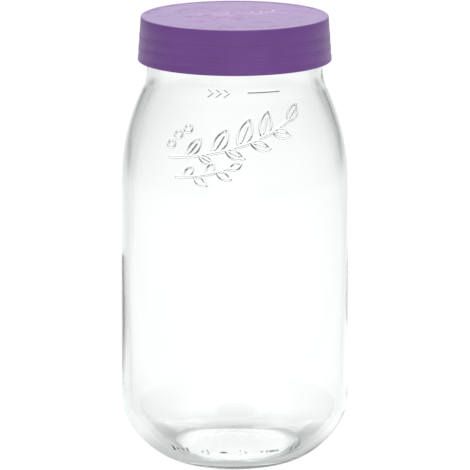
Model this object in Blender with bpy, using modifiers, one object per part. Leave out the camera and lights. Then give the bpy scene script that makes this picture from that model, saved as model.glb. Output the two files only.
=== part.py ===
"""Screw-top glass jar, empty, with its plastic lid screwed on.

Two pieces: a one-piece pressed and blown glass jar with a threaded neck, and a
plastic screw lid with a matching thread inside its skirt.

Metres, +Z up. The origin is the centre of the base, on the surface that the jar
stands on, and +Z is the axis of the jar.
"""

import math

import bmesh
import bpy

MM = 0.001

# Driving dimensions of the outside of the glass
BODY_RADIUS = 61.0 * MM
HEEL_TOP = 31.7 * MM            # height at which the heel curve runs into the wall
HEEL_INSET = 32.5 * MM          # how far in from the wall the heel curve ends
HEEL_POWER = 1.61               # 2 would be an ellipse, less is a flatter slope
SHOULDER_BASE = 151.7 * MM      # height at which the wall begins to lean in
SHOULDER_ARC = 118.7 * MM
SHOULDER_LEAN = math.radians(25.7)
NECK_FILLET = 19.75 * MM
NECK_RADIUS = 47.0 * MM
RIM_HEIGHT = 240.0 * MM
FOOT_WIDTH = 2.5 * MM           # flat ring that the jar stands on
RECESS_HEIGHT = 0.4 * MM        # shallow flat recess under the base
RECESS_SLOPE = 2.5 * MM         # width of the slope round it

# Driving dimensions of the inside of the glass
WALL = 3.2 * MM                 # thinnest, at mid height
SHOULDER_WALL = 4.4 * MM
SHOULDER_WALL_FROM = 110.0 * MM
SHOULDER_WALL_TO = 200.0 * MM
LOWER_WALL = 4.2 * MM
LOWER_WALL_FROM = 120.0 * MM
LOWER_WALL_TO = 20.0 * MM
FLOOR_RADIUS = 34.3 * MM        # flat disc in the middle of the floor
FLOOR_STEP = 0.5 * MM
FLOOR_STEP_WIDTH = 0.7 * MM

# Driving dimensions of the lid
LID_TOP = 242.1 * MM
LID_BOTTOM = 218.0 * MM
LID_TOP_RADIUS = 50.2 * MM
LID_BOTTOM_RADIUS = 51.8 * MM
LID_BORE_RADIUS = 48.9 * MM
LID_PLATE = 1.8 * MM
LID_EDGE = 0.8 * MM             # rounding of the top and bottom edges
LID_STEPS = (233.8 * MM, 228.0 * MM, 222.1 * MM)    # heights of the steps in the skirt
LID_STEP_DEPTH = 0.15 * MM
LID_MOUTH_RADIUS = 50.2 * MM
LID_MOUTH_DEPTH = 2.5 * MM      # height of the lead-in at the open end

# Driving dimensions of the screw thread
THREAD_PITCH = 6.0 * MM
THREAD_TURNS = 1.25
THREAD_START = 223.5 * MM       # height of the lower end of the glass thread
GLASS_BEAD = 1.25 * MM
LID_BEAD = 1.2 * MM
BEAD_END = 0.35                 # size of a bead at its ends, as a share of its full size
BEAD_TAPER = 0.12               # share of a bead's length that tapers, at each end

# Fineness of the facets
ROUND_STEPS = 64
THREAD_STEPS = 36               # points in one turn of a thread
MERGE = 0.00001

RIM_ROUNDING = SHOULDER_WALL / 2


def clear_scene():
    for item in list(bpy.data.objects):
        bpy.data.objects.remove(item, do_unlink=True)


def new_collection(name):
    collection = bpy.data.collections.new(name)
    bpy.context.scene.collection.children.link(collection)
    return collection


def new_material(name, colour, roughness, transmission=0.0, ior=1.5):
    material = bpy.data.materials.new(name)
    material.use_nodes = True
    shader = material.node_tree.nodes["Principled BSDF"]
    shader.inputs["Base Color"].default_value = (*colour, 1.0)
    shader.inputs["Roughness"].default_value = roughness
    shader.inputs["Metallic"].default_value = 0.0
    shader.inputs["Transmission Weight"].default_value = transmission
    shader.inputs["IOR"].default_value = ior
    material.diffuse_color = (*colour, 1.0)
    return material


def arc(centre, radius, start, end, steps):
    """Points (r, z) on a circular arc, angles in radians from the +r direction."""
    points = []
    for step in range(steps + 1):
        angle = start + (end - start) * step / steps
        points.append((centre[0] + radius * math.cos(angle),
                       centre[1] + radius * math.sin(angle)))
    return points


def heel_curve(inner_radius, outer_radius, low, high, power, steps):
    """Points (r, z) from the wall down to the base, along a superellipse."""
    points = []
    for step in range(steps + 1):
        angle = math.pi / 2 * (1 - step / steps)
        across = math.sin(angle) ** (2 / power)
        down = math.cos(angle) ** (2 / power)
        points.append((inner_radius + (outer_radius - inner_radius) * across,
                       low + (high - low) * (1 - down)))
    return points


def soft_step(radius_from, radius_to, height_from, height_to, steps):
    """Points (r, z) on a smooth S-shaped slope."""
    points = []
    for step in range(steps + 1):
        share = step / steps
        rise = (1 - math.cos(math.pi * share)) / 2
        points.append((radius_from + (radius_to - radius_from) * share,
                       height_from + (height_to - height_from) * rise))
    return points


def smooth_share(value, start, end):
    """0 before the start, 1 after the end and a smooth step between them."""
    share = min(1.0, max(0.0, (value - start) / (end - start)))
    return share * share * (3 - 2 * share)


def wall_thickness(height):
    upper = smooth_share(height, SHOULDER_WALL_FROM, SHOULDER_WALL_TO)
    lower = smooth_share(height, LOWER_WALL_FROM, LOWER_WALL_TO)
    return WALL + (SHOULDER_WALL - WALL) * upper + (LOWER_WALL - WALL) * lower


def outer_wall():
    """Points (r, z) of the outer surface, with their lean, from the rim to the heel.

    Two arcs that touch: a hollow one under the neck and the full one of the shoulder.
    """
    hollow_centre_r = NECK_RADIUS + NECK_FILLET
    lean_end = BODY_RADIUS - SHOULDER_ARC * (1 - math.cos(SHOULDER_LEAN))
    hollow_end = hollow_centre_r - NECK_FILLET * math.cos(SHOULDER_LEAN)
    cone = (lean_end - hollow_end) / math.tan(SHOULDER_LEAN)
    lean_height = SHOULDER_BASE + SHOULDER_ARC * math.sin(SHOULDER_LEAN)
    hollow_height = lean_height + cone + NECK_FILLET * math.sin(SHOULDER_LEAN)
    hollow = arc((hollow_centre_r, hollow_height), NECK_FILLET,
                 math.pi, math.pi + SHOULDER_LEAN, 5)
    full = arc((BODY_RADIUS - SHOULDER_ARC, SHOULDER_BASE), SHOULDER_ARC,
               SHOULDER_LEAN, 0.0, 7)
    leans = [SHOULDER_LEAN * step / 5 for step in range(6)]
    leans += [SHOULDER_LEAN * (1 - step / 7) for step in range(8)]
    points = [(NECK_RADIUS, RIM_HEIGHT - RIM_ROUNDING)] + hollow + full
    leans = [0.0] + leans
    for height in (130.0 * MM, 105.0 * MM, 80.0 * MM, 55.0 * MM, HEEL_TOP):
        points.append((BODY_RADIUS, height))
        leans.append(0.0)
    return points, leans


def inner_wall():
    """Points (r, z) of the inner surface from the top of its heel up to the rim."""
    points = []
    for (radius, height), lean in zip(*outer_wall()):
        thickness = wall_thickness(height)
        points.append((radius - thickness * math.cos(lean),
                       height - thickness * math.sin(lean)))
    return points[::-1]


def outer_heel(steps):
    foot_outer = BODY_RADIUS - HEEL_INSET
    return heel_curve(foot_outer, BODY_RADIUS, 0.0, HEEL_TOP, HEEL_POWER, steps)


def inner_heel():
    """Points (r, z) of the inner heel, from the edge of the floor up to the wall."""
    points = []
    outer = outer_heel(14)
    for before, (radius, height), after in zip(outer, outer[1:], outer[2:]):
        along = (after[0] - before[0], after[1] - before[1])
        thickness = wall_thickness(height) / math.hypot(*along)
        inner = (radius + thickness * along[1], height - thickness * along[0])
        if inner[0] > FLOOR_RADIUS + FLOOR_STEP_WIDTH:
            points.append(inner)
    return points[::-1]


def glass_profile():
    """Half section of the glass: up the inside, over the rim and down the outside."""
    foot_inner = BODY_RADIUS - HEEL_INSET - FOOT_WIDTH
    heel = inner_heel()
    raised = heel[0][1] + FLOOR_STEP
    inside = [(0.0, raised), (FLOOR_RADIUS, raised)] + heel + inner_wall()
    rim_centre = (NECK_RADIUS - RIM_ROUNDING, RIM_HEIGHT - RIM_ROUNDING)
    rim = arc(rim_centre, RIM_ROUNDING, math.pi, 0.0, 6)[1:-1]
    outside = outer_wall()[0][:-1]
    outside += outer_heel(9)
    outside += soft_step(foot_inner, foot_inner - RECESS_SLOPE, 0.0, RECESS_HEIGHT, 4)
    outside.append((0.0, RECESS_HEIGHT))
    return inside + rim + outside


def skirt_radius(height):
    """Outer radius of the lid's skirt, without its steps."""
    share = (LID_TOP - height) / (LID_TOP - LID_BOTTOM)
    return LID_TOP_RADIUS + (LID_BOTTOM_RADIUS - LID_TOP_RADIUS) * share


def lid_profile():
    """Half section of the lid: over the top, down the skirt and up its inside."""
    ceiling = LID_TOP - LID_PLATE
    top_edge = arc((LID_TOP_RADIUS - LID_EDGE, LID_TOP - LID_EDGE), LID_EDGE,
                   math.pi / 2, 0.0, 3)
    bottom_edge = arc((LID_BOTTOM_RADIUS - LID_EDGE, LID_BOTTOM + LID_EDGE), LID_EDGE,
                      0.0, -math.pi / 2, 3)
    skirt = []
    for height in LID_STEPS:
        skirt.append((skirt_radius(height) - LID_STEP_DEPTH, height + LID_STEP_DEPTH))
        skirt.append((skirt_radius(height) + LID_STEP_DEPTH, height - LID_STEP_DEPTH))
    points = [(0.0, LID_TOP)] + top_edge + skirt + bottom_edge
    points.append((LID_MOUTH_RADIUS, LID_BOTTOM))
    points.append((LID_BORE_RADIUS, LID_BOTTOM + LID_MOUTH_DEPTH))
    points.append((LID_BORE_RADIUS, ceiling - LID_EDGE))
    points.append((LID_BORE_RADIUS - LID_EDGE, ceiling))
    points.append((0.0, ceiling))
    return points


def turned_object(name, profile, material, collection):
    """A half section turned round the Z axis by a Screw modifier."""
    mesh = bpy.data.meshes.new(name)
    vertices = [(r, 0.0, z) for r, z in profile]
    edges = [(index, index + 1) for index in range(len(vertices) - 1)]
    mesh.from_pydata(vertices, edges, [])
    mesh.materials.append(material)
    turned = bpy.data.objects.new(name, mesh)
    collection.objects.link(turned)
    screw = turned.modifiers.new("Turn", "SCREW")
    screw.axis = "Z"
    screw.angle = 2 * math.pi
    screw.steps = ROUND_STEPS
    screw.render_steps = ROUND_STEPS
    screw.use_merge_vertices = True
    screw.merge_threshold = MERGE
    screw.use_smooth_shade = True
    return turned


def bead_size(share):
    """Size of a thread bead at a share of its length: full, with tapered ends."""
    from_end = min(share, 1 - share)
    taper = min(1.0, from_end / BEAD_TAPER)
    return BEAD_END + (1 - BEAD_END) * math.sin(math.pi / 2 * taper)


def thread_bead(name, radius, bead, start_height, start_angle, material, collection):
    """A round bead wound round the Z axis, as one closed mesh."""
    curve = bpy.data.curves.new(name, "CURVE")
    curve.dimensions = "3D"
    curve.bevel_depth = bead
    curve.bevel_resolution = 2
    curve.use_fill_caps = True
    spline = curve.splines.new("POLY")
    count = int(THREAD_TURNS * THREAD_STEPS) + 1
    spline.points.add(count - 1)
    for index, point in enumerate(spline.points):
        share = index / (count - 1)
        angle = start_angle + 2 * math.pi * THREAD_TURNS * share
        height = start_height + THREAD_PITCH * THREAD_TURNS * share
        point.co = (radius * math.cos(angle), radius * math.sin(angle), height, 1.0)
        point.radius = bead_size(share)
    wound = bpy.data.objects.new(name + "_curve", curve)
    collection.objects.link(wound)
    bpy.context.view_layer.update()
    mesh = bpy.data.meshes.new_from_object(
        wound.evaluated_get(bpy.context.evaluated_depsgraph_get()))
    weld = bmesh.new()
    weld.from_mesh(mesh)
    bmesh.ops.remove_doubles(weld, verts=weld.verts, dist=MERGE)
    weld.to_mesh(mesh)
    weld.free()
    mesh.materials.clear()
    mesh.materials.append(material)
    bead_object = bpy.data.objects.new(name, mesh)
    bead_object.matrix_world = wound.matrix_world
    collection.objects.link(bead_object)
    bpy.data.objects.remove(wound, do_unlink=True)
    bead_object.hide_render = True
    bead_object.display_type = "WIRE"
    return bead_object


def join_to(target, tool):
    union = target.modifiers.new("Join " + tool.name, "BOOLEAN")
    union.operation = "UNION"
    union.solver = "EXACT"
    union.object = tool


def main():
    clear_scene()
    pieces = new_collection("screw_top_jar")
    cutters = new_collection("jar_cutters")

    glass = new_material("clear_glass", (0.93, 0.97, 0.95), 0.02, transmission=1.0, ior=1.52)
    plastic = new_material("purple_plastic", (0.22, 0.09, 0.33), 0.38)

    jar = turned_object("glass_jar", glass_profile(), glass, pieces)
    jar_bead = thread_bead("jar_thread", NECK_RADIUS, GLASS_BEAD, THREAD_START, 0.0,
                           glass, cutters)
    join_to(jar, jar_bead)

    lid = turned_object("screw_lid", lid_profile(), plastic, pieces)
    lid_bead = thread_bead("lid_thread", LID_BORE_RADIUS, LID_BEAD,
                           THREAD_START + THREAD_PITCH / 2, 0.0, plastic, cutters)
    join_to(lid, lid_bead)


main()
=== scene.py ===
import math

import bmesh
import bpy
import numpy as np
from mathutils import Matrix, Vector


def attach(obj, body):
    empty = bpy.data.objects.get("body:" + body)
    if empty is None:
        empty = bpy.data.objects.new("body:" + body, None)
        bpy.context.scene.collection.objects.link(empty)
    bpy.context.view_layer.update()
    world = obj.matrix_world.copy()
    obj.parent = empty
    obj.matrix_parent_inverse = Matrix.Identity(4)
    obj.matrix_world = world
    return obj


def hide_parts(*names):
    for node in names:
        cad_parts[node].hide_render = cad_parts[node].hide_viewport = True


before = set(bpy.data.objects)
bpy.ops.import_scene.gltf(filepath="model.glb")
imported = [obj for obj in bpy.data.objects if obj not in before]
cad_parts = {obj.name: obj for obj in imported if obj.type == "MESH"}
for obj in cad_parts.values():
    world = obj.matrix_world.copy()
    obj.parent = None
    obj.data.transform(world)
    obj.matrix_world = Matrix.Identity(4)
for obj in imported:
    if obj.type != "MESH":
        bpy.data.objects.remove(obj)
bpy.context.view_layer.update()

MM = 0.001

# Outside of the glass, as in the solid that it replaces
BODY_RADIUS = 61.0 * MM
HEEL_TOP = 31.7 * MM
HEEL_INSET = 32.5 * MM
HEEL_POWER = 1.61
SHOULDER_BASE = 151.7 * MM
SHOULDER_ARC = 118.7 * MM
SHOULDER_LEAN = math.radians(25.7)
NECK_FILLET = 19.75 * MM
NECK_RADIUS = 47.0 * MM
RIM_HEIGHT = 240.0 * MM
FOOT_WIDTH = 2.5 * MM
RECESS_HEIGHT = 0.12 * MM       # flat recess under the base, shallower than in the solid
RECESS_SLOPE = 8.0 * MM

# Inside of the glass, also as in the solid
WALL = 3.2 * MM
SHOULDER_WALL = 4.4 * MM
SHOULDER_WALL_FROM = 110.0 * MM
SHOULDER_WALL_TO = 200.0 * MM
LOWER_WALL = 4.2 * MM
LOWER_WALL_FROM = 120.0 * MM
LOWER_WALL_TO = 20.0 * MM
FLOOR_RADIUS = 34.3 * MM
FLOOR_STEP = 0.5 * MM
FLOOR_STEP_WIDTH = 0.7 * MM
RIM_ROUNDING = SHOULDER_WALL / 2
HEEL_SMOOTHING = 14             # rounds of smoothing, up to this far above the heel
HEEL_SMOOTHING_REACH = 12 * MM

# Moulded glass is uneven inside
CAVITY_SHIFT_LOW = 1.0 * MM     # towards +X, near the base
CAVITY_SHIFT_HIGH = 0.25 * MM
CAVITY_SHIFT_FROM = 20 * MM     # height where the low shift ends, and how far it fades
CAVITY_SHIFT_FADE = 130 * MM
RIM_CALM = 6 * MM               # no shift this near the rim, and how far it fades
RIM_FADE = 20 * MM
WAVE_HEIGHT = 0.10 * MM
WAVE_SPANS = (31 * MM, 17 * MM, 23 * MM)
WAVE_PHASES = (0.6, 1.1)
WAVE_SECOND = 0.6               # share of the second wave, with five crests round the jar
WAVE_FADE = 60 * MM             # the waves start above the heel
WAVE_START = 0.4

# Raised decoration on the front of the shoulder, over the heel and on the lid
FRONT = -math.pi / 2
MARK_RADIUS = 56.5 * MM         # turns an angle into a distance across the shoulder
MARK_HEIGHT = 184.0 * MM        # height of the middle of the garland
MARK_STRETCH = 1.06             # distance along the sloping glass for each step in height
GARLAND_LINE = (1.00 * MM, 0.68 * MM)       # half width and height of a raised line
LEVEL_LINE = (0.80 * MM, 0.34 * MM)
ARROW_LINE = (0.62 * MM, 0.36 * MM)
DOT_LINE = (0.65 * MM, 0.38 * MM)
LEVEL_HEIGHT = 208.7 * MM
LEVEL_ANGLES = (8.5, 29.5)
ARROW_ANGLES = (-15.4, -10.2, -5.0)
ARROW_SIZE = (1.5 * MM, 2.0 * MM)
ARROW_DROP = 0.4 * MM           # below the fill line
DOT_RADIUS = 53.5 * MM
DOT_HEIGHT = 15.0 * MM
DOT_STRETCH = 1.35              # as MARK_STRETCH, on the heel
DOT_STEP = 2.95 * MM
DOT_PATTERN = "|..|  .|  -  |.  ..-.  |."
DOT_SIZES = {".": (0.0, 0.3 * MM), "|": (0.0, 1.5 * MM), "-": (1.3 * MM, 0.0)}
LINE_POWER = 1.6                # shape of a raised line's section
MARK_MARGIN = 2.0 * MM          # the glass is also refined this far beside the lines
SHOULDER_MARK_HEIGHTS = (150.0 * MM, 213.0 * MM)
SHOULDER_MARK_CUTS = 6          # of each edge, near the lines
HEEL_MARK_HEIGHTS = (9.0 * MM, 21.0 * MM)
HEEL_MARK_CUTS = 5
FRONT_ANGLE = 1.0               # the front reaches this far to either side
FRONT_DEPTH = 1.5 * MM          # and the outside of the glass this far in

# The garland, the sprig under it, and their leaves and berries, in millimetres
GARLAND_STEM = ((-35, -10), (2.0, -7), (31, 10))
GARLAND_STEPS = 30
GARLAND_LEAVES = (              # turn from the stem, then place on it and length of each
    (0.85, ((4, 12.5), (10, 15.0), (16, 16.5), (22, 15.0))),
    (-0.70, ((7, 8.5), (13, 10.0), (19, 10.5), (25, 10.0))))
GARLAND_LEAF_WIDTH = 0.43       # for each step in length
GARLAND_TIP = (0.25, 12.0, 5.2)             # turn, length and width of the last leaf
BERRIES = ((-35.0, -2.5), (-31.5, 3.0), (-26.0, 6.5))
BERRY_RADIUS = 2.1
SPRIG_STEM = ((-30, -20.5), (-16, -20), (-3, -14.5))
SPRIG_STEPS = 14
SPRIG_LEAVES = (2, 5, 8, 11)    # places on the stem
SPRIG_LEAF = (0.85, 7.5, 3.8)
SPRIG_TIP = (6.5, 3.4)
LEAF_STEPS = 8
LEAF_POWER = 0.8
LEAF_VEIN = (0.15, 0.72)        # ends of the middle vein, as shares of the length

# Lid, as in the solid that it replaces
LID_TOP = 242.1 * MM
LID_BOTTOM = 218.0 * MM
LID_TOP_RADIUS = 50.2 * MM
LID_BOTTOM_RADIUS = 51.8 * MM
LID_BORE_RADIUS = 48.9 * MM
LID_PLATE = 1.8 * MM
LID_EDGE = 0.8 * MM
LID_STEPS = (233.2 * MM, 226.9 * MM, 220.8 * MM)
LID_STEP_DEPTH = 0.12 * MM
LID_GROOVE = (0.42 * MM, 0.24 * MM)         # half height and depth of the line at a step
LID_PANEL_RADIUS = 47.4 * MM
LID_PANEL_DEPTH = 0.25 * MM
LID_PANEL_SLOPE = 0.8 * MM
LID_MARK_HEIGHT = 0.10 * MM
LID_MARK_WIDTH = 0.9 * MM       # to either side of the middle
LID_MARK_BACK = 5.0 * MM
LID_MARK_SINK = 0.05 * MM       # into the panel
LID_MARK_TIP = 0.25             # size at the ends of a line
LID_MARK_PROFILE = ((-1.0, 0.0), (-0.7, 0.62), (-0.35, 0.92), (0.0, 1.0),
                    (0.35, 0.92), (0.7, 0.62), (1.0, 0.0))
LID_SHARP_ANGLE = math.radians(40)
LID_MOUTH_RADIUS = 50.2 * MM
LID_MOUTH_DEPTH = 2.5 * MM

# Screw thread
THREAD_PITCH = 6.0 * MM
THREAD_TURNS = 1.25
THREAD_START = 223.5 * MM
GLASS_BEAD = 1.25 * MM
LID_BEAD = 1.2 * MM
THREAD_FROM = 214 * MM          # nothing lower on the neck belongs to it
BEAD_END = 0.35
BEAD_TAPER = 0.12

# Fineness of the turned meshes: steps of the shoulder's two arcs, and of the heel
GLASS_COLUMNS = 144
LID_COLUMNS = 192
INSIDE_STEPS = ((7, 26), 60)
OUTSIDE_STEPS = ((9, 36), 34)
RELIEF_STEPS = ((120, 400), 300)
RIM_STEPS = 12
LID_EDGE_STEPS = 8
NECK_GAP = 0.5 * MM             # gaps between the points of straight walls
WALL_GAP = 4.0 * MM
FLOOR_GAP = 3.0 * MM
FOOT_GAP = 1.0 * MM
LID_GAP = 5.0 * MM
TOLERANCE = 0.01 * MM

# Camera, from the outlines of the lid and the body in the photo
CAMERA_DISTANCE = 2.75
CAMERA_HEIGHT = 0.68865
CAMERA_AIM = 0.12241
CAMERA_ASIDE = 0.16 * MM
FOCAL_PIXELS = 5219.1
FRAME_PIXELS = 470
SENSOR_WIDTH = 36.0
CAMERA_RANGE = 50
LIGHT_BOUNCES = 24
MIRROR_BOUNCES = 12

# Materials
GLASS_IOR = 1.52
GLASS_TINT = (0.25, 0.60, 0.45, 1)
GLASS_DENSITY = 6.0
# Painted shade in the glass colour: grey where the inside of the heel meets the floor
HEEL_PAINTED_SHADE = (0.60, 0.61, 0.61, 1)
HEEL_PAINTED_SHADE_FROM = 34.7 * MM     # the painted shade is darkest at this radius and gone at the next
HEEL_PAINTED_SHADE_TO = 50.0 * MM
HEEL_PAINTED_SHADE_TOP = (22.0 * MM, 36.0 * MM)     # it fades between these heights
HEEL_PAINTED_SHADE_BACK = (-20.0 * MM, 15.0 * MM)   # grows between these distances to the back
HEEL_PAINTED_SHADE_LOW = 2.6 * MM                   # and lies above a cone that rises outwards
HEEL_PAINTED_SHADE_RISE = 0.42
GLASS_ROUGHNESS = (0.0, 0.02)   # clean, and where it is smudged
GLASS_WAVE = 0.00006            # depths of the waves and the fine ripple, in metres
GLASS_GRAIN = 0.0000006
SMUDGE_NOISE = (55.0, 3.0, 0.6)             # scale, detail, roughness and stretch
SMUDGE_LEVELS = (0.60, 0.80)
WAVE_NOISE = (38.0, 1.0, 0.4, (1.0, 1.0, 0.35))
GLASS_GRAIN_NOISE = (420.0, 1.0)
PLASTIC_DARK = (0.144, 0.042, 0.250, 1)
PLASTIC_LIGHT = (0.160, 0.048, 0.272, 1)
PLASTIC_PAINTED_HIGHLIGHT = (0.30, 0.16, 0.42, 1)      # painted highlight: a lighter colour on the raised lines of the lid, for the light they catch
PLASTIC_ROUGHNESS = (0.36, 0.46)
PLASTIC_SPECULAR = 0.5
PLASTIC_GRAIN = 0.000012        # depths of the grain and of shallow hollows, in metres
PLASTIC_SINK = 0.00008
CLOUD_NOISE = (45.0, 3.0, 0.6)
CLOUD_LEVELS = (0.35, 0.65)
SCUFF_NOISE = (160.0, 4.0, 0.7, (1.0, 1.0, 0.25))
SCUFF_LEVELS = (0.48, 0.72)
PLASTIC_GRAIN_NOISE = (1500.0, 2.0)

# Light
TABLE_SIZE = 12.0
TABLE_HEIGHT = -0.0002
BACKDROP_LEVEL = 1.02           # brightness of the table where it is seen directly
LANE_LEVEL = 1.07               # and of a lane along Y, where the glass shows or mirrors it
LANE_HALF_WIDTH = 0.095
LANE_WIDENING = 0.14
LANE_FADE = 1.7                 # it ends at this many times its half width
SIDE_LEFT = 0.84
SIDE_RIGHT = 0.88
SIDE_BLEND = 0.05               # half width of the change from left to right
SIDE_FAR = (0.6, 1.5, 0.70)     # distances between which the sides fade, and to what
LANE_FAR = (0.7, 1.7, 0.86)
# Round shades on the table: middle, stretch along Y, inner and outer radius, depth
FOOT_SHADE = (0.0, 0.0, 1.0, 0.040, 0.072, 0.40)
FOOT_GLOW = (0.0, 0.0, 1.0, 0.026, 0.036, -1.25)
LEFT_SHADE = (-0.105, 0.03, 0.65, 0.045, 0.110, 0.10)
RIGHT_SHADE = (0.105, 0.03, 0.65, 0.045, 0.110, 0.05)
SKY_FRONT = 0.77
SKY_SIDES = 0.60
SKY_LEFT_SHARE = 0.80
SKY_BACK_SHARE = 0.10           # low down straight behind
SKY_BACK_HIGH = 0.60            # added higher up behind
SKY_OVERHEAD = 0.90
# Where these parts of the sky begin and end, in parts of the direction's unit vector
SKY_FRONT_EDGE = (-0.5, 0.1)
SKY_LEFT_EDGE = (-0.85, -0.6)
SKY_LEFT_TOP = (0.40, 0.55)
SKY_BACK_EDGE = (0.34, 0.50)
SKY_BACK_START = (0.0, 0.3)
SKY_LOW_TOP = (0.38, 0.46)
SKY_HIGH_START = (0.42, 0.60)
SKY_OVERHEAD_START = (0.6, 0.95)
TOP_LIGHT_SIZE = (0.55, 0.34)
TOP_LIGHT_PLACE = (0.0, 0.33, 0.41)
TOP_LIGHT_AIM = (0.0, 0.0, 0.24)
TOP_LIGHT_BRIGHTNESS = 1.46


def arc(centre, radius, start, end, steps):
    """Points (r, z) on a circular arc, angles in radians from the +r direction."""
    points = []
    for step in range(steps + 1):
        angle = start + (end - start) * step / steps
        points.append((centre[0] + radius * math.cos(angle),
                       centre[1] + radius * math.sin(angle)))
    return points


def straight(start, end, gap):
    """Points between two ends, both left out, about a gap apart."""
    length = math.dist(start, end)
    count = max(1, round(length / gap))
    points = []
    for step in range(1, count):
        share = step / count
        points.append((start[0] + (end[0] - start[0]) * share,
                       start[1] + (end[1] - start[1]) * share))
    return points


def heel_curve(inner_radius, outer_radius, low, high, power, steps):
    """Points (r, z) from the wall down to the base, along a superellipse."""
    points = []
    for step in range(steps + 1):
        angle = math.pi / 2 * (1 - step / steps)
        across = math.sin(angle) ** (2 / power)
        down = math.cos(angle) ** (2 / power)
        points.append((inner_radius + (outer_radius - inner_radius) * across,
                       low + (high - low) * (1 - down)))
    return points


def soft_step(radius_from, radius_to, height_from, height_to, steps):
    """Points (r, z) on a smooth S-shaped slope."""
    points = []
    for step in range(steps + 1):
        share = step / steps
        rise = (1 - math.cos(math.pi * share)) / 2
        points.append((radius_from + (radius_to - radius_from) * share,
                       height_from + (height_to - height_from) * rise))
    return points


def shoulder_curve(steps):
    """Points (r, z) from the neck down to the wall: a hollow arc, then a full one."""
    lean_end = BODY_RADIUS - SHOULDER_ARC * (1 - math.cos(SHOULDER_LEAN))
    hollow_end = NECK_RADIUS + NECK_FILLET * (1 - math.cos(SHOULDER_LEAN))
    cone = (lean_end - hollow_end) / math.tan(SHOULDER_LEAN)
    rise = (SHOULDER_ARC + NECK_FILLET) * math.sin(SHOULDER_LEAN)
    hollow_centre = (NECK_RADIUS + NECK_FILLET, SHOULDER_BASE + rise + cone)
    full_centre = (BODY_RADIUS - SHOULDER_ARC, SHOULDER_BASE)
    hollow = arc(hollow_centre, NECK_FILLET, math.pi, math.pi + SHOULDER_LEAN, steps[0])
    full = arc(full_centre, SHOULDER_ARC, SHOULDER_LEAN, 0.0, steps[1])
    return hollow + full


def smooth_share(value, start, end):
    """0 before the start, 1 after the end and a smooth step between them."""
    share = min(1.0, max(0.0, (value - start) / (end - start)))
    return share * share * (3 - 2 * share)


def wall_thickness(height):
    upper = smooth_share(height, SHOULDER_WALL_FROM, SHOULDER_WALL_TO)
    lower = smooth_share(height, LOWER_WALL_FROM, LOWER_WALL_TO)
    return WALL + (SHOULDER_WALL - WALL) * upper + (LOWER_WALL - WALL) * lower


def outer_wall(steps):
    """Section of the outer surface from the neck down to the top of the heel."""
    top = (NECK_RADIUS, RIM_HEIGHT - RIM_ROUNDING)
    shoulder = shoulder_curve(steps)
    end = (BODY_RADIUS, HEEL_TOP)
    points = [top] + straight(top, shoulder[0], NECK_GAP) + shoulder
    return points + straight(shoulder[-1], end, WALL_GAP)


def smoothed(section, rounds):
    """The section with its points moved towards the middle of their neighbours."""
    for _ in range(rounds):
        section[1:-1] = (section[:-2] + 2 * section[1:-1] + section[2:]) / 4
    return section


def outer_heel(steps):
    """Section of the outer surface from the top of the heel down to the foot."""
    return heel_curve(BODY_RADIUS - HEEL_INSET, BODY_RADIUS, 0.0, HEEL_TOP, HEEL_POWER, steps)


def glass_inside():
    """Section of the hollow, from the middle of the floor up to the rim."""
    outer = np.array(outer_wall(INSIDE_STEPS[0]) + outer_heel(INSIDE_STEPS[1])[1:])
    thickness = np.array([[wall_thickness(height)] for height in outer[:, 1]])
    wall = outer - section_normals(outer) * thickness
    lower = outer[:, 1] < HEEL_TOP + HEEL_SMOOTHING_REACH
    wall[lower] = smoothed(wall[lower], HEEL_SMOOTHING)
    edge = FLOOR_RADIUS + FLOOR_STEP_WIDTH
    beyond = np.flatnonzero((wall[:, 0] > edge) | (outer[:, 1] > HEEL_TOP / 2))
    wall = [tuple(point) for point in wall[beyond]][::-1]
    raised = wall[0][1] + FLOOR_STEP
    points = straight((0.0, raised), (FLOOR_RADIUS, raised), FLOOR_GAP)
    points += soft_step(FLOOR_RADIUS, wall[0][0], raised, wall[0][1], 6)[:-1]
    return points + wall


def glass_outside():
    """Section of the rim and the outer surface, down to the middle of the base."""
    rim_centre = (NECK_RADIUS - RIM_ROUNDING, RIM_HEIGHT - RIM_ROUNDING)
    rim = arc(rim_centre, RIM_ROUNDING, math.pi, 0.0, RIM_STEPS)[1:-1]
    foot_inner = BODY_RADIUS - HEEL_INSET - FOOT_WIDTH
    heel = outer_heel(OUTSIDE_STEPS[1])
    recess = soft_step(foot_inner, foot_inner - RECESS_SLOPE, 0.0, RECESS_HEIGHT, 8)
    recess += straight(recess[-1], (0.0, RECESS_HEIGHT), FLOOR_GAP)
    points = rim + outer_wall(OUTSIDE_STEPS[0]) + heel
    points += straight(heel[-1], recess[0], FOOT_GAP)
    return points + recess


def section_normals(section):
    """Unit normals of a section, pointing out of the solid that it goes round."""
    tangent = np.gradient(section, axis=0)
    normal = np.stack([-tangent[:, 1], tangent[:, 0]], axis=1)
    return normal / np.linalg.norm(normal, axis=1, keepdims=True)


def turned_mesh(name, points, start_pole, end_pole):
    """A closed mesh from a grid of points (row, column, xyz) and its two end points."""
    rows, columns = points.shape[:2]
    vertices = points.reshape(-1, 3).tolist() + [start_pole, end_pole]
    faces = []
    for row in range(rows - 1):
        for column in range(columns):
            after = (column + 1) % columns
            faces.append((row * columns + column, (row + 1) * columns + column,
                          (row + 1) * columns + after, row * columns + after))
    first, last = rows * columns, rows * columns + 1
    for column in range(columns):
        after = (column + 1) % columns
        faces.append((first, column, after))
        faces.append((last, (rows - 1) * columns + after, (rows - 1) * columns + column))
    mesh = bpy.data.meshes.new(name)
    mesh.from_pydata(vertices, [], faces)
    mesh.validate()
    return mesh


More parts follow.
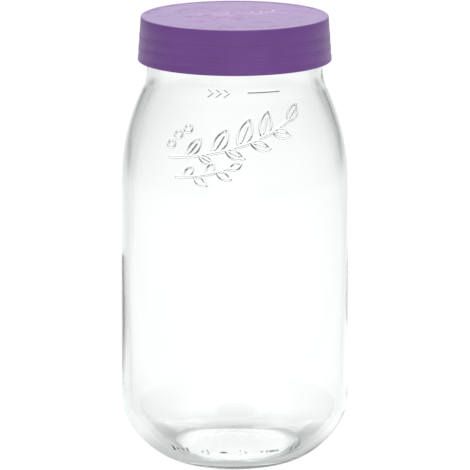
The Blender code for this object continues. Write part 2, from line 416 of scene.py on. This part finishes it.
def bead_height(angle, height, bead, start_height):
    """How far a thread bead stands out at each angle and height."""
    rise = np.zeros_like(angle * height)
    for turn in range(-1, 3):
        share = (angle / (2 * math.pi) + turn) / THREAD_TURNS
        centre = start_height + THREAD_PITCH * THREAD_TURNS * share
        from_end = np.minimum(share, 1 - share)
        taper = np.clip(from_end / BEAD_TAPER, 0, 1)
        size = bead * (BEAD_END + (1 - BEAD_END) * np.sin(math.pi / 2 * taper))
        size = np.where((share >= 0) & (share <= 1), size, 0)
        inside = np.maximum(size ** 2 - (height - centre) ** 2, 0)
        rise = np.maximum(rise, np.sqrt(inside))
    return rise


def grid(section, angles, offset):
    """Points of a section turned through the angles and moved out by an offset grid."""
    section = np.array(section)
    normal = section_normals(section)
    radius = section[:, :1] + normal[:, :1] * offset
    height = section[:, 1:] + normal[:, 1:] * offset
    return np.stack([radius * np.cos(angles), radius * np.sin(angles),
                     height + 0 * angles], axis=2)


def cavity_offset(height, angle):
    """Unevenness of the inner surface: how far it lies out of its true place."""
    wave = (np.sin(2 * angle + WAVE_PHASES[0] + height / WAVE_SPANS[0])
            * np.sin(height / WAVE_SPANS[1]))
    wave = wave + WAVE_SECOND * np.sin(5 * angle + WAVE_PHASES[1] - height / WAVE_SPANS[2])
    return WAVE_HEIGHT * wave * np.clip(height / WAVE_FADE - WAVE_START, 0, 1)


def cavity_shift(height):
    """How far the hollow as a whole lies to one side."""
    low = 1 - np.clip((height - CAVITY_SHIFT_FROM) / CAVITY_SHIFT_FADE, 0, 1)
    fade = np.clip((RIM_HEIGHT - RIM_CALM - height) / RIM_FADE, 0, 1)
    return (CAVITY_SHIFT_HIGH + (CAVITY_SHIFT_LOW - CAVITY_SHIFT_HIGH) * low) * fade


def glass_jar(material):
    angles = np.arange(GLASS_COLUMNS) * 2 * math.pi / GLASS_COLUMNS
    inside = np.array(glass_inside())
    outside = np.array(glass_outside())
    hollow = grid(inside, angles, -cavity_offset(inside[:, 1:], angles[None, :]))
    hollow[:, :, 0] += cavity_shift(inside[:, 1:])
    thread = bead_height(angles[None, :], outside[:, 1:], GLASS_BEAD, THREAD_START)
    on_neck = (outside[:, :1] > NECK_RADIUS - TOLERANCE) & (outside[:, 1:] > THREAD_FROM)
    shell = grid(outside, angles, np.where(on_neck, thread, 0))
    mesh = turned_mesh("glass", np.concatenate([hollow, shell]),
                       (cavity_shift(0.0), 0, inside[0][1]), (0, 0, RECESS_HEIGHT))
    shoulder_marks = [(line, GARLAND_LINE) for line in garland() + sprig()]
    shoulder_marks += level_marks()
    raise_marks(mesh, shoulder_marks, SHOULDER_MARK_HEIGHTS, SHOULDER_MARK_CUTS,
                shoulder_place)
    raise_marks(mesh, heel_marks(), HEEL_MARK_HEIGHTS, HEEL_MARK_CUTS, heel_place)
    mesh.shade_smooth()
    finished("glass", mesh, material, "glass_jar")


def shoulder_place(angle, height):
    """Distances across and up the shoulder from the middle of the garland."""
    return angle * MARK_RADIUS, (height - MARK_HEIGHT) * MARK_STRETCH


def heel_place(angle, height):
    """Distances across and up the heel from the middle of the row of dots."""
    return angle * DOT_RADIUS, (height - DOT_HEIGHT) * DOT_STRETCH


def bend(corners, steps):
    """Points on a curve from the first corner to the last, drawn towards the middle one."""
    start, middle, end = [(x * MM, y * MM) for x, y in corners]
    points = []
    for step in range(steps + 1):
        share = step / steps
        points.append(tuple((1 - share) ** 2 * a + 2 * share * (1 - share) * b
                            + share ** 2 * c for a, b, c in zip(start, middle, end)))
    return points


def ring(centre, radius):
    return arc(centre, radius, 0.0, 2 * math.pi, 14)


def leaf(base, turn, length, width):
    """A leaf's outline and its middle vein, as three lines."""
    along = (math.cos(turn), math.sin(turn))
    lines = []
    for side, start, end in ((1, 0.0, 1.0), (-1, 0.0, 1.0), (0, *LEAF_VEIN)):
        line = []
        for step in range(LEAF_STEPS + 1):
            share = start + (end - start) * step / LEAF_STEPS
            out = side * width / 2 * math.sin(math.pi * share) ** LEAF_POWER if side else 0.0
            line.append((base[0] + length * share * along[0] - out * along[1],
                         base[1] + length * share * along[1] + out * along[0]))
        lines.append(line)
    return lines


def stem_turn(stem, index):
    """Direction of a line at one of its points, as an angle."""
    before, after = stem[max(index - 1, 0)], stem[min(index + 1, len(stem) - 1)]
    return math.atan2(after[1] - before[1], after[0] - before[0])


def garland():
    """A leafy twig across the shoulder, rising to the right, as raised lines."""
    stem = bend(GARLAND_STEM, GARLAND_STEPS)
    lines = [stem]
    for turn, places in GARLAND_LEAVES:
        for index, length in places:
            lines += leaf(stem[index], stem_turn(stem, index) + turn,
                          length * MM, GARLAND_LEAF_WIDTH * length * MM)
    turn, length, width = GARLAND_TIP
    lines += leaf(stem[-1], stem_turn(stem, GARLAND_STEPS) + turn, length * MM, width * MM)
    for x, y in BERRIES:
        lines.append(ring((x * MM, y * MM), BERRY_RADIUS * MM))
    return lines


def sprig():
    """A smaller twig under the left half of the garland."""
    stem = bend(SPRIG_STEM, SPRIG_STEPS)
    lines = [stem]
    turn, length, width = SPRIG_LEAF
    for count, index in enumerate(SPRIG_LEAVES):
        side = -1 if count % 2 else 1
        lines += leaf(stem[index], stem_turn(stem, index) + side * turn,
                      length * MM, width * MM)[:2]
    length, width = SPRIG_TIP
    lines += leaf(stem[-1], stem_turn(stem, SPRIG_STEPS), length * MM, width * MM)[:2]
    return lines


def level_marks():
    """The fill line, and three small arrows that point to it."""
    first, last = LEVEL_ANGLES
    line = [shoulder_place(math.radians(first + (last - first) * step / 12), LEVEL_HEIGHT)
            for step in range(13)]
    marks = [(line, LEVEL_LINE)]
    half_width, half_height = ARROW_SIZE
    for degrees in ARROW_ANGLES:
        x, y = shoulder_place(math.radians(degrees), LEVEL_HEIGHT - ARROW_DROP)
        arrow = [(x - half_width, y + half_height), (x + half_width, y),
                 (x - half_width, y - half_height)]
        marks.append((arrow, ARROW_LINE))
    return marks


def heel_marks():
    """A row of dots and short bars over the front of the heel."""
    marks = []
    first = -DOT_STEP * (len(DOT_PATTERN) - 1) / 2
    for index, sign in enumerate(DOT_PATTERN):
        x = first + DOT_STEP * index
        if sign in DOT_SIZES:
            across, up = DOT_SIZES[sign]
            marks.append(([(x - across, -up), (x + across, up)], DOT_LINE))
    return marks


def line_relief(across, up, line, half_width, height):
    """Height of one raised line at each place of a surface."""
    nearest = np.full(across.shape, np.inf)
    for (x0, y0), (x1, y1) in zip(line[:-1], line[1:]):
        length = max((x1 - x0) ** 2 + (y1 - y0) ** 2, 1e-12)
        share = ((across - x0) * (x1 - x0) + (up - y0) * (y1 - y0)) / length
        share = np.clip(share, 0, 1)
        away = (across - x0 - share * (x1 - x0)) ** 2 + (up - y0 - share * (y1 - y0)) ** 2
        nearest = np.minimum(nearest, away)
    return height * np.clip(1 - nearest / half_width ** 2, 0, 1) ** LINE_POWER


def mark_relief(across, up, marks, reach=0.0):
    """Height of all the raised lines at each place, with reach added to their widths."""
    rise = np.zeros(across.shape)
    for line, (half_width, height) in marks:
        wide = half_width + reach
        xs, ys = [x for x, _ in line], [y for _, y in line]
        near = ((across > min(xs) - wide) & (across < max(xs) + wide)
                & (up > min(ys) - wide) & (up < max(ys) + wide))
        relief = line_relief(across[near], up[near], line, wide, height)
        rise[near] = np.maximum(rise[near], relief)
    return rise


def front_places(points, fine, heights):
    """Angle from the front, true outer radius, and which points are on the outer front."""
    angle = np.arctan2(points[:, 1], points[:, 0]) - FRONT
    outer = np.interp(points[:, 2], fine[:, 1], fine[:, 0])
    here = np.hypot(points[:, 0], points[:, 1]) > outer - FRONT_DEPTH
    here &= np.abs(angle) < FRONT_ANGLE
    here &= (points[:, 2] > heights[0]) & (points[:, 2] < heights[1])
    return angle, outer, here


def raise_marks(mesh, marks, heights, cuts, place):
    """Refines the outer front of the glass near some lines and raises the lines on it."""
    fine = np.array(outer_wall(RELIEF_STEPS[0]) + outer_heel(RELIEF_STEPS[1]))[::-1]
    normal = -section_normals(fine)
    work = bmesh.new()
    work.from_mesh(mesh)
    work.faces.ensure_lookup_table()
    middles = np.array([face.calc_center_median()[:] for face in work.faces])
    angle, _, here = front_places(middles, fine, heights)
    here &= mark_relief(*place(angle, middles[:, 2]), marks, MARK_MARGIN) > 0
    edges = {edge for index in np.flatnonzero(here) for edge in work.faces[index].edges}
    edges = sorted(edges, key=lambda edge: edge.index)
    bmesh.ops.subdivide_edges(work, edges=edges, cuts=cuts, use_grid_fill=True)
    points = np.array([vertex.co[:] for vertex in work.verts])
    angle, outer, here = front_places(points, fine, heights)
    level = points[:, 2]
    rise = mark_relief(*place(angle, level), marks)
    radius = outer + rise * np.interp(level, fine[:, 1], normal[:, 0])
    lifted = level + rise * np.interp(level, fine[:, 1], normal[:, 1])
    work.verts.ensure_lookup_table()
    for index in np.flatnonzero(here):
        turn = angle[index] + FRONT
        work.verts[index].co = (radius[index] * math.cos(turn),
                                radius[index] * math.sin(turn), lifted[index])
    work.to_mesh(mesh)
    work.free()


def skirt_radius(height):
    """Outer radius of the lid at a height, without its steps."""
    share = (LID_TOP - height) / (LID_TOP - LID_BOTTOM)
    return LID_TOP_RADIUS + (LID_BOTTOM_RADIUS - LID_TOP_RADIUS) * share


def lid_section():
    """Section of the lid: over the top, down the skirt and up its inside."""
    ceiling = LID_TOP - LID_PLATE
    panel = LID_TOP - LID_PANEL_DEPTH
    top_edge = arc((LID_TOP_RADIUS - LID_EDGE, LID_TOP - LID_EDGE), LID_EDGE,
                   math.pi / 2, 0.0, LID_EDGE_STEPS)
    bottom_edge = arc((LID_BOTTOM_RADIUS - LID_EDGE, LID_BOTTOM + LID_EDGE), LID_EDGE,
                      0.0, -math.pi / 2, LID_EDGE_STEPS)
    half, depth = LID_GROOVE
    skirt = []
    for height in LID_STEPS:
        above = (skirt_radius(height) - LID_STEP_DEPTH, height + half)
        below = (skirt_radius(height) + LID_STEP_DEPTH, height - half)
        bottom = skirt_radius(height) - depth
        skirt += soft_step(above[0], bottom, above[1], height, 4)[:-1]
        skirt += soft_step(bottom, below[0], height, below[1], 4)
    inside = [(LID_MOUTH_RADIUS, LID_BOTTOM),
              (LID_BORE_RADIUS, LID_BOTTOM + LID_MOUTH_DEPTH)]
    inside += straight(inside[-1], (LID_BORE_RADIUS, ceiling - LID_EDGE), NECK_GAP)
    inside += [(LID_BORE_RADIUS, ceiling - LID_EDGE),
               (LID_BORE_RADIUS - LID_EDGE, ceiling)]
    top = straight((0.0, panel), (LID_PANEL_RADIUS, panel), LID_GAP)
    top += soft_step(LID_PANEL_RADIUS, LID_PANEL_RADIUS + LID_PANEL_SLOPE, panel, LID_TOP, 5)
    under = straight(inside[-1], (0.0, ceiling), LID_GAP)
    return top + top_edge + skirt + bottom_edge + inside + under


def screw_lid(material):
    angles = np.arange(LID_COLUMNS) * 2 * math.pi / LID_COLUMNS
    section = np.array(lid_section())
    thread = bead_height(angles[None, :], section[:, 1:], LID_BEAD,
                         THREAD_START + THREAD_PITCH / 2)
    on_bore = np.abs(section[:, :1] - LID_BORE_RADIUS) < TOLERANCE
    points = grid(section, angles, np.where(on_bore, thread, 0))
    mesh = turned_mesh("lid", points, (0, 0, LID_TOP - LID_PANEL_DEPTH),
                       (0, 0, LID_TOP - LID_PLATE))
    mesh.shade_smooth()
    mesh.set_sharp_from_angle(angle=LID_SHARP_ANGLE)
    finished("lid", mesh, material, "screw_lid")


def lid_relief(material):
    """The garland again, as low raised lines on top of the lid."""
    base = LID_TOP - LID_PANEL_DEPTH - LID_MARK_SINK
    width = len(LID_MARK_PROFILE)
    vertices, faces = [], []
    for line in garland() + sprig():
        start = len(vertices)
        for index, (x, y) in enumerate(line):
            turn = stem_turn(line, index)
            tip = LID_MARK_TIP if index in (0, len(line) - 1) else 1.0
            for share, rise in LID_MARK_PROFILE:
                out = share * LID_MARK_WIDTH * tip
                vertices.append((x - out * math.sin(turn),
                                 y + out * math.cos(turn) + LID_MARK_BACK,
                                 base + rise * tip * (LID_MARK_HEIGHT + LID_MARK_SINK)))
        for index in range(len(line) - 1):
            for column in range(width):
                after = (column + 1) % width
                first, second = start + index * width, start + (index + 1) * width
                faces.append((first + column, first + after,
                              second + after, second + column))
        faces.append(tuple(range(start + width - 1, start - 1, -1)))
        last = start + (len(line) - 1) * width
        faces.append(tuple(range(last, last + width)))
    mesh = bpy.data.meshes.new("lid_relief")
    mesh.from_pydata(vertices, [], faces)
    work = bmesh.new()
    work.from_mesh(mesh)
    bmesh.ops.recalc_face_normals(work, faces=work.faces)
    work.to_mesh(mesh)
    work.free()
    mesh.shade_smooth()
    mesh.materials.append(material)
    relief = bpy.data.objects.new("lid_relief", mesh)
    bpy.context.scene.collection.objects.link(relief)
    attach(relief, "root")


def finished(name, mesh, material, node):
    """Puts a mesh into the scene as a piece that stands for a node."""
    mesh.materials.append(material)
    piece = bpy.data.objects.new(name, mesh)
    bpy.context.scene.collection.objects.link(piece)
    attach(piece, "root")
    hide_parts(node)


def new_material(name):
    """A material with its node tree and its main shader."""
    material = bpy.data.materials.new(name)
    material.use_nodes = True
    return material, material.node_tree, material.node_tree.nodes["Principled BSDF"]


def noise(tree, place, scale, detail, roughness=0.5, stretch=(1.0, 1.0, 1.0)):
    """Soft noise fixed to the object, 0 to 1, with features of about 1 / scale metres."""
    mapping = tree.nodes.new("ShaderNodeMapping")
    mapping.inputs["Scale"].default_value = stretch
    tree.links.new(place, mapping.inputs["Vector"])
    texture = tree.nodes.new("ShaderNodeTexNoise")
    texture.inputs["Scale"].default_value = scale
    texture.inputs["Detail"].default_value = detail
    texture.inputs["Roughness"].default_value = roughness
    tree.links.new(mapping.outputs[0], texture.inputs["Vector"])
    return texture.outputs[0]


def bump(tree, height, depth, before=None):
    """A bump of a depth in metres, on top of another one if there is one."""
    node = tree.nodes.new("ShaderNodeBump")
    node.inputs["Strength"].default_value = 1.0
    node.inputs["Distance"].default_value = depth
    tree.links.new(height, node.inputs["Height"])
    if before is not None:
        tree.links.new(before, node.inputs["Normal"])
    return node.outputs[0]


def heel_painted_shade(tree, place):
    """Painted shade: the glass colour greyed where the inside of the heel meets the floor of
    the jar.
    """
    split = tree.nodes.new("ShaderNodeSeparateXYZ")
    tree.links.new(place, split.inputs[0])
    across, along, up = split.outputs
    radius = distance(tree, across, along, (CAVITY_SHIFT_LOW, 0.0), 1.0)
    beyond = calculate(tree, "SUBTRACT", radius, HEEL_PAINTED_SHADE_FROM)
    share = calculate(tree, "SUBTRACT", 1.0, calculate(
        tree, "DIVIDE", beyond, HEEL_PAINTED_SHADE_TO - HEEL_PAINTED_SHADE_FROM))
    share = calculate(tree, "MULTIPLY", share, calculate(tree, "GREATER_THAN", beyond, 0.0))
    share = calculate(tree, "MULTIPLY", share,
                      ramp(tree, up, *HEEL_PAINTED_SHADE_TOP, 1.0, 0.0))
    share = calculate(tree, "MULTIPLY", share,
                      ramp(tree, along, *HEEL_PAINTED_SHADE_BACK, 0.0, 1.0))
    above = calculate(tree, "SUBTRACT", up, calculate(tree, "MULTIPLY", calculate(
        tree, "MAXIMUM", beyond, 0.0), HEEL_PAINTED_SHADE_RISE))
    share = calculate(tree, "MULTIPLY", share,
                      ramp(tree, above, HEEL_PAINTED_SHADE_LOW, HEEL_PAINTED_SHADE_LOW + MM, 0.0, 1.0))
    return mixed_colour(tree, share, (1, 1, 1, 1), HEEL_PAINTED_SHADE)


def glass_material():
    """Clear glass, faintly green, with the soft waves of moulded glass, light smudges and
    painted shade near the inner heel.
    """
    material, tree, shader = new_material("clear_glass")
    shader.inputs["IOR"].default_value = GLASS_IOR
    shader.inputs["Transmission Weight"].default_value = 1.0
    place = tree.nodes.new("ShaderNodeTexCoord").outputs["Object"]
    # the base colour carries painted shade near the inner heel
    tree.links.new(heel_painted_shade(tree, place), shader.inputs["Base Color"])
    smudge = noise(tree, place, *SMUDGE_NOISE)
    tree.links.new(ramp(tree, smudge, *SMUDGE_LEVELS, *GLASS_ROUGHNESS),
                   shader.inputs["Roughness"])
    waves = noise(tree, place, *WAVE_NOISE)
    ripple = bump(tree, waves, GLASS_WAVE)
    grain = noise(tree, place, *GLASS_GRAIN_NOISE)
    tree.links.new(bump(tree, grain, GLASS_GRAIN, ripple), shader.inputs["Normal"])
    absorb = tree.nodes.new("ShaderNodeVolumeAbsorption")
    absorb.inputs["Color"].default_value = GLASS_TINT
    absorb.inputs["Density"].default_value = GLASS_DENSITY
    tree.links.new(absorb.outputs[0], tree.nodes["Material Output"].inputs["Volume"])
    return material


def mixed_colour(tree, share, first, second):
    """The first colour where the share is 0, the second where it is 1."""
    mix = tree.nodes.new("ShaderNodeMix")
    mix.data_type = "RGBA"
    colours = [socket for socket in mix.inputs if socket.type == "RGBA"]
    colours[0].default_value = first
    colours[1].default_value = second
    tree.links.new(share, mix.inputs[0])
    return [socket for socket in mix.outputs if socket.type == "RGBA"][0]


def plastic_material(name, dark, light):
    """Satin plastic: clouded colour, fine grain and faint scuffs from use."""
    material, tree, shader = new_material(name)
    place = tree.nodes.new("ShaderNodeTexCoord").outputs["Object"]
    clouds = noise(tree, place, *CLOUD_NOISE)
    colour = mixed_colour(tree, ramp(tree, clouds, *CLOUD_LEVELS, 0.0, 1.0), dark, light)
    tree.links.new(colour, shader.inputs["Base Color"])
    scuffs = noise(tree, place, *SCUFF_NOISE)
    tree.links.new(ramp(tree, scuffs, *SCUFF_LEVELS, *PLASTIC_ROUGHNESS),
                   shader.inputs["Roughness"])
    shader.inputs["Specular IOR Level"].default_value = PLASTIC_SPECULAR
    grain = noise(tree, place, *PLASTIC_GRAIN_NOISE)
    soft = bump(tree, clouds, PLASTIC_SINK)
    tree.links.new(bump(tree, grain, PLASTIC_GRAIN, soft), shader.inputs["Normal"])
    return material


def ramp(tree, value, start, end, low, high):
    """A smooth step from low to high while a value goes from start to end."""
    step = tree.nodes.new("ShaderNodeMapRange")
    step.interpolation_type = "SMOOTHSTEP"
    step.inputs["From Min"].default_value = start
    step.inputs["From Max"].default_value = end
    step.inputs["To Min"].default_value = low
    step.inputs["To Max"].default_value = high
    tree.links.new(value, step.inputs["Value"])
    return step.outputs[0]


def calculate(tree, operation, first, second=None):
    """A math node on two values, each a socket or a number."""
    node = tree.nodes.new("ShaderNodeMath")
    node.operation = operation
    for socket, value in zip(node.inputs, (first, second)):
        if isinstance(value, (int, float)):
            socket.default_value = value
        elif value is not None:
            tree.links.new(value, socket)
    return node.outputs[0]


def distance(tree, across, along, centre, stretch):
    """Distance from an upright line at centre, where stretch weighs the part along Y."""
    aside = calculate(tree, "SUBTRACT", across, centre[0])
    away = calculate(tree, "MULTIPLY", calculate(tree, "SUBTRACT", along, centre[1]), stretch)
    return calculate(tree, "SQRT", calculate(
        tree, "ADD", calculate(tree, "MULTIPLY", aside, aside),
        calculate(tree, "MULTIPLY", away, away)))


def floor_material():
    """A white light table, with soft shades round the jar that only the glass shows."""
    material = bpy.data.materials.new("light_table")
    material.use_nodes = True
    tree = material.node_tree
    tree.nodes.clear()
    place = tree.nodes.new("ShaderNodeNewGeometry")
    split = tree.nodes.new("ShaderNodeSeparateXYZ")
    tree.links.new(place.outputs["Position"], split.inputs[0])
    across, along = split.outputs["X"], split.outputs["Y"]
    aside = calculate(tree, "ABSOLUTE", across)
    edge = calculate(tree, "ADD", LANE_HALF_WIDTH, calculate(
        tree, "MULTIPLY", calculate(tree, "ABSOLUTE", along), LANE_WIDENING))
    beside = ramp(tree, calculate(tree, "DIVIDE", aside, edge), 1.0, LANE_FADE, 0.0, 1.0)
    side = ramp(tree, across, -SIDE_BLEND, SIDE_BLEND, SIDE_LEFT, SIDE_RIGHT)
    side = calculate(tree, "MULTIPLY", side,
                     ramp(tree, aside, SIDE_FAR[0], SIDE_FAR[1], 1.0, SIDE_FAR[2]))
    level = calculate(tree, "ADD", LANE_LEVEL, calculate(
        tree, "MULTIPLY", beside, calculate(tree, "SUBTRACT", side, LANE_LEVEL)))
    level = calculate(tree, "MULTIPLY", level, ramp(
        tree, calculate(tree, "ABSOLUTE", along), LANE_FAR[0], LANE_FAR[1], 1.0, LANE_FAR[2]))
    for x, y, stretch, inner, outer, depth in (FOOT_SHADE, FOOT_GLOW, LEFT_SHADE, RIGHT_SHADE):
        away = distance(tree, across, along, (x, y), stretch)
        level = calculate(tree, "MULTIPLY", level,
                          ramp(tree, away, inner, outer, 1 - depth, 1.0))
    path = tree.nodes.new("ShaderNodeLightPath")
    direct = path.outputs["Is Camera Ray"]
    indirect = calculate(tree, "SUBTRACT", 1.0, direct)
    strength = calculate(tree, "ADD", calculate(tree, "MULTIPLY", direct, BACKDROP_LEVEL),
                         calculate(tree, "MULTIPLY", indirect, level))
    glow = tree.nodes.new("ShaderNodeEmission")
    tree.links.new(strength, glow.inputs["Strength"])
    output = tree.nodes.new("ShaderNodeOutputMaterial")
    tree.links.new(glow.outputs[0], output.inputs["Surface"])
    return material


def floor():
    """The table that the jar stands on, which is also the backdrop."""
    bpy.ops.mesh.primitive_plane_add(size=TABLE_SIZE, location=(0, 0, TABLE_HEIGHT))
    table = bpy.context.object
    table.name = "floor"
    table.data.materials.append(floor_material())


def sky():
    """A grey room: lighter in front and overhead, dark low down behind the jar."""
    world = bpy.data.worlds.new("studio")
    bpy.context.scene.world = world
    world.use_nodes = True
    tree = world.node_tree
    back = tree.nodes["Background"]
    place = tree.nodes.new("ShaderNodeTexCoord")
    split = tree.nodes.new("ShaderNodeSeparateXYZ")
    tree.links.new(place.outputs["Generated"], split.inputs[0])
    across, along, up = split.outputs
    around = ramp(tree, along, *SKY_FRONT_EDGE, SKY_FRONT, SKY_SIDES)
    left = calculate(tree, "MULTIPLY", ramp(tree, across, *SKY_LEFT_EDGE, 1.0, 0.0),
                     ramp(tree, up, *SKY_LEFT_TOP, 1.0, 0.0))
    around = calculate(tree, "MULTIPLY", around, calculate(
        tree, "SUBTRACT", 1.0, calculate(tree, "MULTIPLY", left, 1 - SKY_LEFT_SHARE)))
    aside = calculate(tree, "ABSOLUTE", across)
    behind = calculate(tree, "MULTIPLY", ramp(tree, aside, *SKY_BACK_EDGE, 1.0, 0.0),
                       ramp(tree, along, *SKY_BACK_START, 0.0, 1.0))
    low = calculate(tree, "MULTIPLY", behind, ramp(tree, up, *SKY_LOW_TOP, 1.0, 0.0))
    high = calculate(tree, "MULTIPLY", behind, ramp(tree, up, *SKY_HIGH_START, 0.0, 1.0))
    around = calculate(tree, "MULTIPLY", around, calculate(
        tree, "SUBTRACT", 1.0, calculate(tree, "MULTIPLY", low, 1 - SKY_BACK_SHARE)))
    over = ramp(tree, up, *SKY_OVERHEAD_START, 0.0, SKY_OVERHEAD)
    strength = calculate(tree, "ADD", calculate(tree, "ADD", around, over),
                         calculate(tree, "MULTIPLY", high, SKY_BACK_HIGH))
    tree.links.new(strength, back.inputs["Strength"])
    back.inputs["Color"].default_value = (1, 1, 1, 1)


def top_light():
    """A soft light just behind and above the lid, out of the picture."""
    data = bpy.data.lights.new("top_light", "AREA")
    data.shape = "RECTANGLE"
    data.size, data.size_y = TOP_LIGHT_SIZE
    data.energy = TOP_LIGHT_BRIGHTNESS * math.pi * data.size * data.size_y
    light = bpy.data.objects.new("top_light", data)
    light.location = TOP_LIGHT_PLACE
    aim = Vector(TOP_LIGHT_AIM) - light.location
    light.rotation_euler = aim.to_track_quat("-Z", "Y").to_euler()
    light.visible_camera = False
    bpy.context.scene.collection.objects.link(light)


def camera():
    """The photo's viewpoint, a little above the jar."""
    data = bpy.data.cameras.new("camera")
    data.sensor_width = SENSOR_WIDTH
    data.lens = FOCAL_PIXELS * SENSOR_WIDTH / FRAME_PIXELS
    data.clip_end = CAMERA_RANGE
    eye = bpy.data.objects.new("camera", data)
    bpy.context.scene.collection.objects.link(eye)
    eye.location = (CAMERA_ASIDE, -CAMERA_DISTANCE, CAMERA_HEIGHT)
    aim = Vector((CAMERA_ASIDE, 0, CAMERA_AIM)) - eye.location
    eye.rotation_euler = aim.to_track_quat("-Z", "Y").to_euler()
    bpy.context.scene.camera = eye


def picture():
    """Plain colours, and enough bounces for light to pass both walls of the glass."""
    scene = bpy.context.scene
    scene.view_settings.view_transform = "Standard"
    scene.cycles.use_denoising = True
    scene.cycles.max_bounces = LIGHT_BOUNCES
    scene.cycles.transmission_bounces = LIGHT_BOUNCES
    scene.cycles.glossy_bounces = MIRROR_BOUNCES


camera()
picture()
sky()
top_light()
floor()
glass_jar(glass_material())
screw_lid(plastic_material("lid_plastic", PLASTIC_DARK, PLASTIC_LIGHT))
# the raised lines get a lighter colour, a painted highlight
lid_relief(plastic_material("lid_plastic_painted_highlight", PLASTIC_LIGHT, PLASTIC_PAINTED_HIGHLIGHT))
